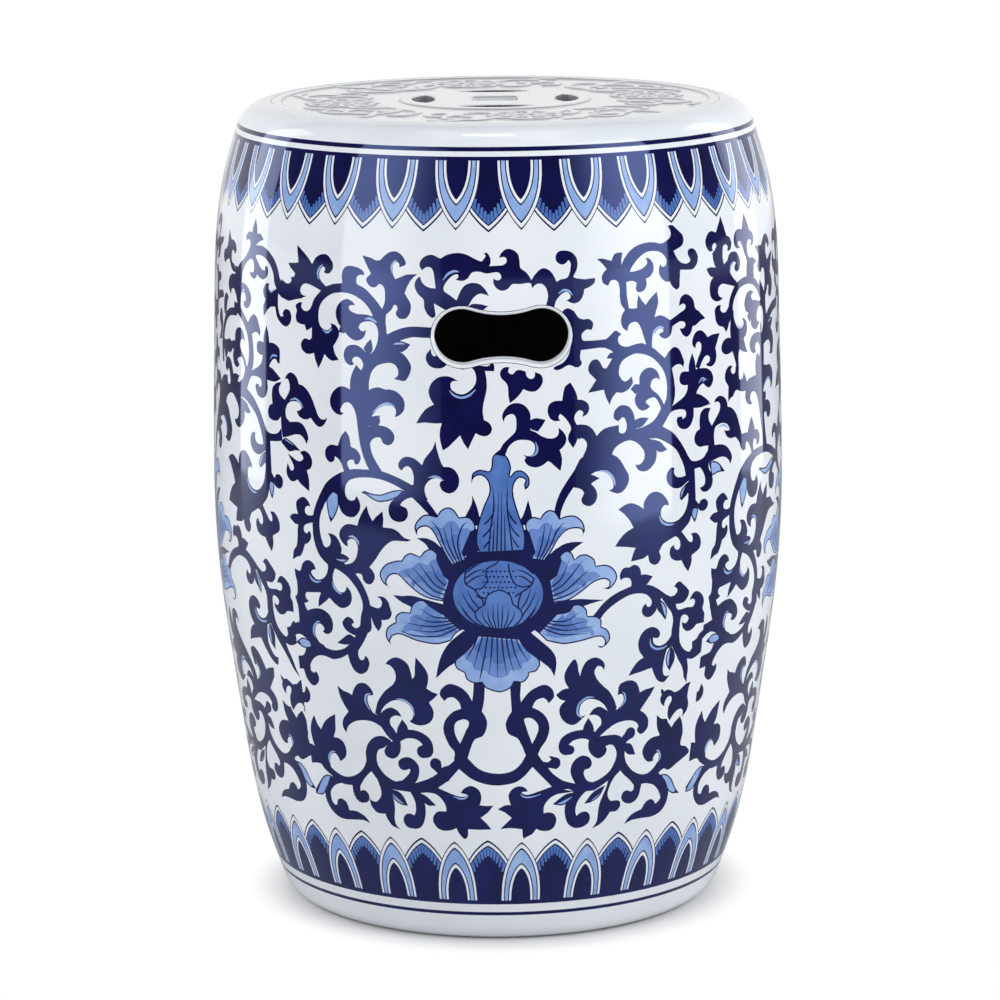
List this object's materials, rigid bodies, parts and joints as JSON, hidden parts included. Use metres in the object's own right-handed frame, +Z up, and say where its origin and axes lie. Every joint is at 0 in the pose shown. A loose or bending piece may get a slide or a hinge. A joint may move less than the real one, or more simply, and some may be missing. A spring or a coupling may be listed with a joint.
{
  "type": "ceramic garden stool",
  "caption": "Hollow blue-and-white ceramic drum stool with a flat coin-pierced seat, a rounded shoulder, peanut-shaped hand holes and an open base.",
  "frame": {"origin": "on the floor at the stool's vertical axis", "axes": "+Z up along the stool's axis, -Y towards the front with one hand hole, +X to the right"},
  "size_m": [0.3272, 0.3272, 0.46],
  "materials": {
    "painted_glaze": "glossy white glaze over cobalt-blue painting",
    "white_glaze": "glossy clear glaze",
    "bare_clay": "matt, unglazed"
  },
  "bodies": {
    "root": {"lower_wall": "painted_glaze", "upper_wall": "painted_glaze", "seat_disc": "white_glaze", "base_ring": "bare_clay"}
  },
  "joints": []
}
